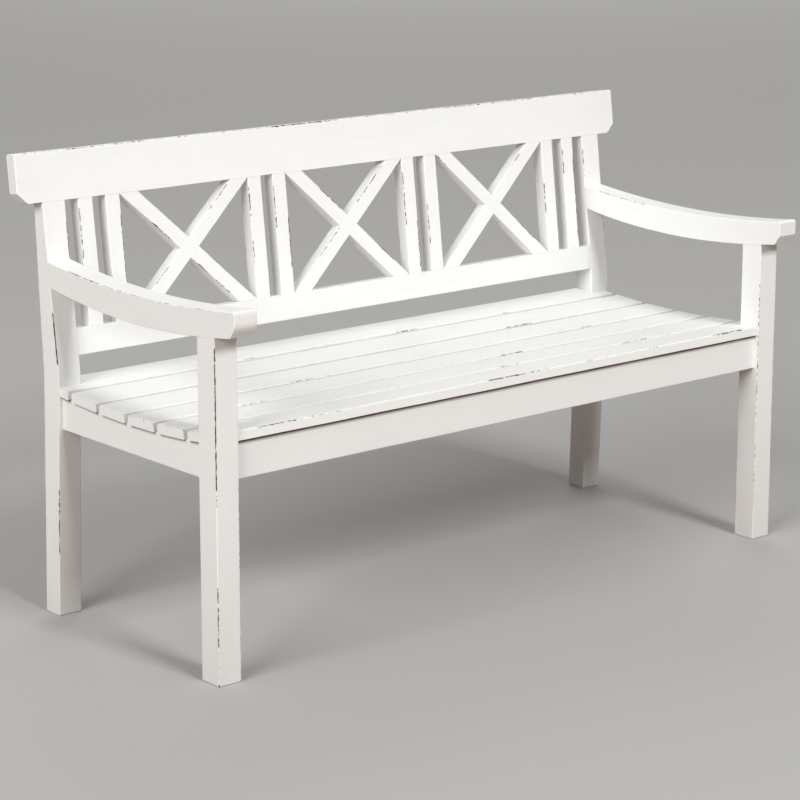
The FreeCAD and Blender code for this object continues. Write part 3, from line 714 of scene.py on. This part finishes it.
def gap_shade_and_grime(front_open):
    """painted shade and grime on the edge faces of a seat slat, which only the gaps show; the front slat's
    front stays clean
    """
    def dirt_and_shade(a, b, along):
        below = np.clip(-b / gap_fade, 0, 1)
        front = np.clip((np.median(a) - a) / slat_fade, 0, 1) * (not front_open)
        rear = np.clip((a - np.median(a)) / slat_fade, 0, 1)
        inside = np.clip((np.minimum(along, 2 * slat_half - along) - gap_clean) / gap_end_fade, 0, 1)
        return gap_shade_and_grime_level * below * inside * np.maximum(front, rear)
    return dirt_and_shade


def painted_strip_shade(below):
    """painted shadow under the seat slats: full for the first fifth of the strip's height, then falling to
    none
    """
    return np.clip(1.25 - 1.25 * below / under_slat_shade_height, 0, 1)


def side_apron_shade(depth, height):
    """painted shadow on a side apron: a strip under each seat slat and none under the gaps, where light comes
    through, most in the rear corner
    """
    edges = slat_edges()
    covered = sum(np.clip(np.minimum(depth - front, rear - depth) / gap_fade, 0, 1) for front, rear in edges)
    level = np.where(depth > edges[-1][0], corner_strip_shade_level, side_strip_shade_level)
    return painted_strip_shade(under_seat(depth) - height) * covered * level


notch = inner_half - notch_gap
for number, edges in enumerate(reversed(slat_edges()), 1):
    middle, height, slope = slat_pose(edges)
    half = (edges[1] - edges[0]) / 2
    front_notch = max(edges[0], leg_depth + notch_gap) - middle
    rear_notch = min(edges[1], float(post_front(height)) + tuck) - middle
    notched = number in (1, seat_slats)
    a_low = lambda along: np.where(np.abs(along - slat_half) > notch, front_notch, -half)
    a_high = lambda along: np.where(np.abs(along - slat_half) > notch, rear_notch, half)
    # painted shade and grime on the slats' edge faces inside the gaps
    member("seat_slat_%d" % number, "slat", (-slat_half, front_face + middle, height), X, 2 * slat_half,
           (np.array([0, np.cos(slope), np.sin(slope)]), np.array([0, -np.sin(slope), np.cos(slope)])),
           (a_low, a_high, -slat_thickness, 0), radii=(soft_round, soft_round, crisp_round, crisp_round),
           ends=(soft_end, soft_end), draw_in=(0.3, 0.3, 0.1, 1), zero=-slat_half, level=0.34,
           end_level=0.41, end_edges=(1, 1, 0.4, 0.4), ripple=planed_boards,
           cuts=(slat_half - notch, slat_half + notch) if notched else (),
           dirt_and_shade=gap_shade_and_grime(number == seat_slats))


def meet_seat(points, share):
    """moves the upper edge of a long apron onto the seat line"""
    depth, height = points[..., 1] - front_face, points[..., 2]
    raised = (height - apron_low) / (seat_low - slat_thickness - apron_low)
    return points + (raised * (under_seat(depth) - seat_low + slat_thickness))[..., None] * Z


# painted shadow: a dark strip along the tops of the long aprons, under the overhang of the seat slats
for node, place in (("front_apron", front_apron_inset), ("rear_apron", rear_apron_place)):
    member(node, "rail", (-inner_half - tuck, front_face, 0), X, 2 * (inner_half + tuck), (Z, Y),
           (apron_low, seat_low - slat_thickness, place, place + apron_thickness), zero=-inner_half,
           radii=(apron_top_round, edge_round, edge_round, apron_top_round), level=0.2, reshape=meet_seat,
           dirt_and_shade=lambda a, b, along: strip_shade_level * painted_strip_shade(seat_low - slat_thickness - a), lead=under_slat_shade_height)
# painted shadow: a dark strip along the tops of the side aprons, under the ends of the seat slats
for word, side in SIDES:
    middle = side * (half_span - side_apron_inset - apron_thickness / 2)
    run = float(post_front(apron_low)) - leg_depth
    member("side_apron_" + word, "arm", (middle, front_face + leg_depth - tuck, 0), Y, run + 2 * tuck, (X, Z),
           (-apron_thickness / 2, apron_thickness / 2, apron_low,
            lambda along: under_seat(along + leg_depth)),
           radii=(apron_top_round, apron_top_round, edge_round, edge_round), level=0.2,
           dirt_and_shade=lambda a, b, along: side_apron_shade(along + leg_depth, b), lead=under_slat_shade_height)

hidden_paint, steel = underside_paint(), screw_steel()
for node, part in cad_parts.items():
    if node not in made:
        part.data.materials.clear()
        part.data.materials.append(steel if node == "slat_screws" else hidden_paint)


# Floor, light and camera

def plain_floor():
    """plain grey floor that throws less light back onto the bench than it shows"""
    half_size = 40.0
    mesh = bpy.data.meshes.new("floor")
    corners = np.array([[-1, -1, 0], [1, -1, 0], [1, 1, 0], [-1, 1, 0]]) * half_size
    mesh.from_pydata(corners.tolist(), [], [(0, 1, 2, 3)])
    floor = bpy.data.objects.new("floor", mesh)
    bpy.context.scene.collection.objects.link(floor)
    finish = Finish("floor_grey")
    ray = lambda kind: finish.node("ShaderNodeLightPath", out="Is %s Ray" % kind)
    seen = ray("Camera") + ray("Glossy") + ray("Transmission")
    colour = finish.blend(seen, floor_bounce, floor_seen)
    finish.fill(finish.shader, {"Base Color": colour, "Roughness": 0.7})
    mesh.materials.append(finish.material)


bench_middle = np.array([0, 0, 0.45])


def soft_lamp(name, place, width, height, power, sheen=True):
    """oblong lamp aimed at the middle of the bench; without sheen it leaves no glare on the paint"""
    data = bpy.data.lights.new(name, "AREA")
    data.shape = "RECTANGLE"
    data.size, data.size_y, data.energy = width, height, power
    lamp = bpy.data.objects.new(name, data)
    lamp.visible_camera = False
    lamp.visible_glossy = sheen
    bpy.context.scene.collection.objects.link(lamp)
    away = np.array(place) - bench_middle
    away /= np.linalg.norm(away)
    side = np.cross(Z, away)
    side /= np.linalg.norm(side)
    turn = np.stack([side, np.cross(away, side), away, place], -1)
    lamp.matrix_world = Matrix([*turn.tolist(), [0, 0, 0, 1]])


def aim_camera():
    """camera at the place, turn and focal length that were fitted to the photograph's edges"""
    place, yaw, pitch, roll = (-3.1933, -3.7039, 1.5609), 0.7171, -0.2090, 0.0046
    focal_pixels, frame_pixels, centre = 2597.5, 800, (447, 313)
    ahead = np.array([np.sin(yaw) * np.cos(pitch), np.cos(yaw) * np.cos(pitch), np.sin(pitch)])
    level = np.array([np.cos(yaw), -np.sin(yaw), 0])
    above = np.cross(level, ahead)
    right = np.cos(roll) * level + np.sin(roll) * above
    up = np.cos(roll) * above - np.sin(roll) * level
    data = bpy.data.cameras.new("camera")
    data.lens = data.sensor_width * focal_pixels / frame_pixels
    data.shift_x = (frame_pixels / 2 - centre[0]) / frame_pixels
    data.shift_y = (centre[1] - frame_pixels / 2) / frame_pixels
    camera = bpy.data.objects.new("camera", data)
    camera.matrix_world = Matrix([*np.stack([right, up, -ahead, place], -1).tolist(), [0, 0, 0, 1]])
    bpy.context.scene.collection.objects.link(camera)
    bpy.context.scene.camera = camera


scene = bpy.context.scene
scene.view_settings.view_transform = "Standard"
scene.world = bpy.data.worlds.new("studio")
scene.world.use_nodes = True
air = scene.world.node_tree.nodes["Background"]
air.inputs["Color"].default_value, air.inputs["Strength"].default_value = (0.97, 0.985, 1.0, 1), 0.20
plain_floor()
soft_lamp("front_lamp", (-0.2, -13.35, 10.15), 3.6, 4.0, 1690)
soft_lamp("left_lamp", (-14.3, -3.7, 7.8), 9.0, 7.0, 1970)
soft_lamp("rear_lamp", (11.5, 13.5, 10.0), 12.0, 12.0, 1250, sheen=False)
soft_lamp("top_lamp", (-1.0, -1.0, 12.0), 14.0, 14.0, 160, sheen=False)
aim_camera()
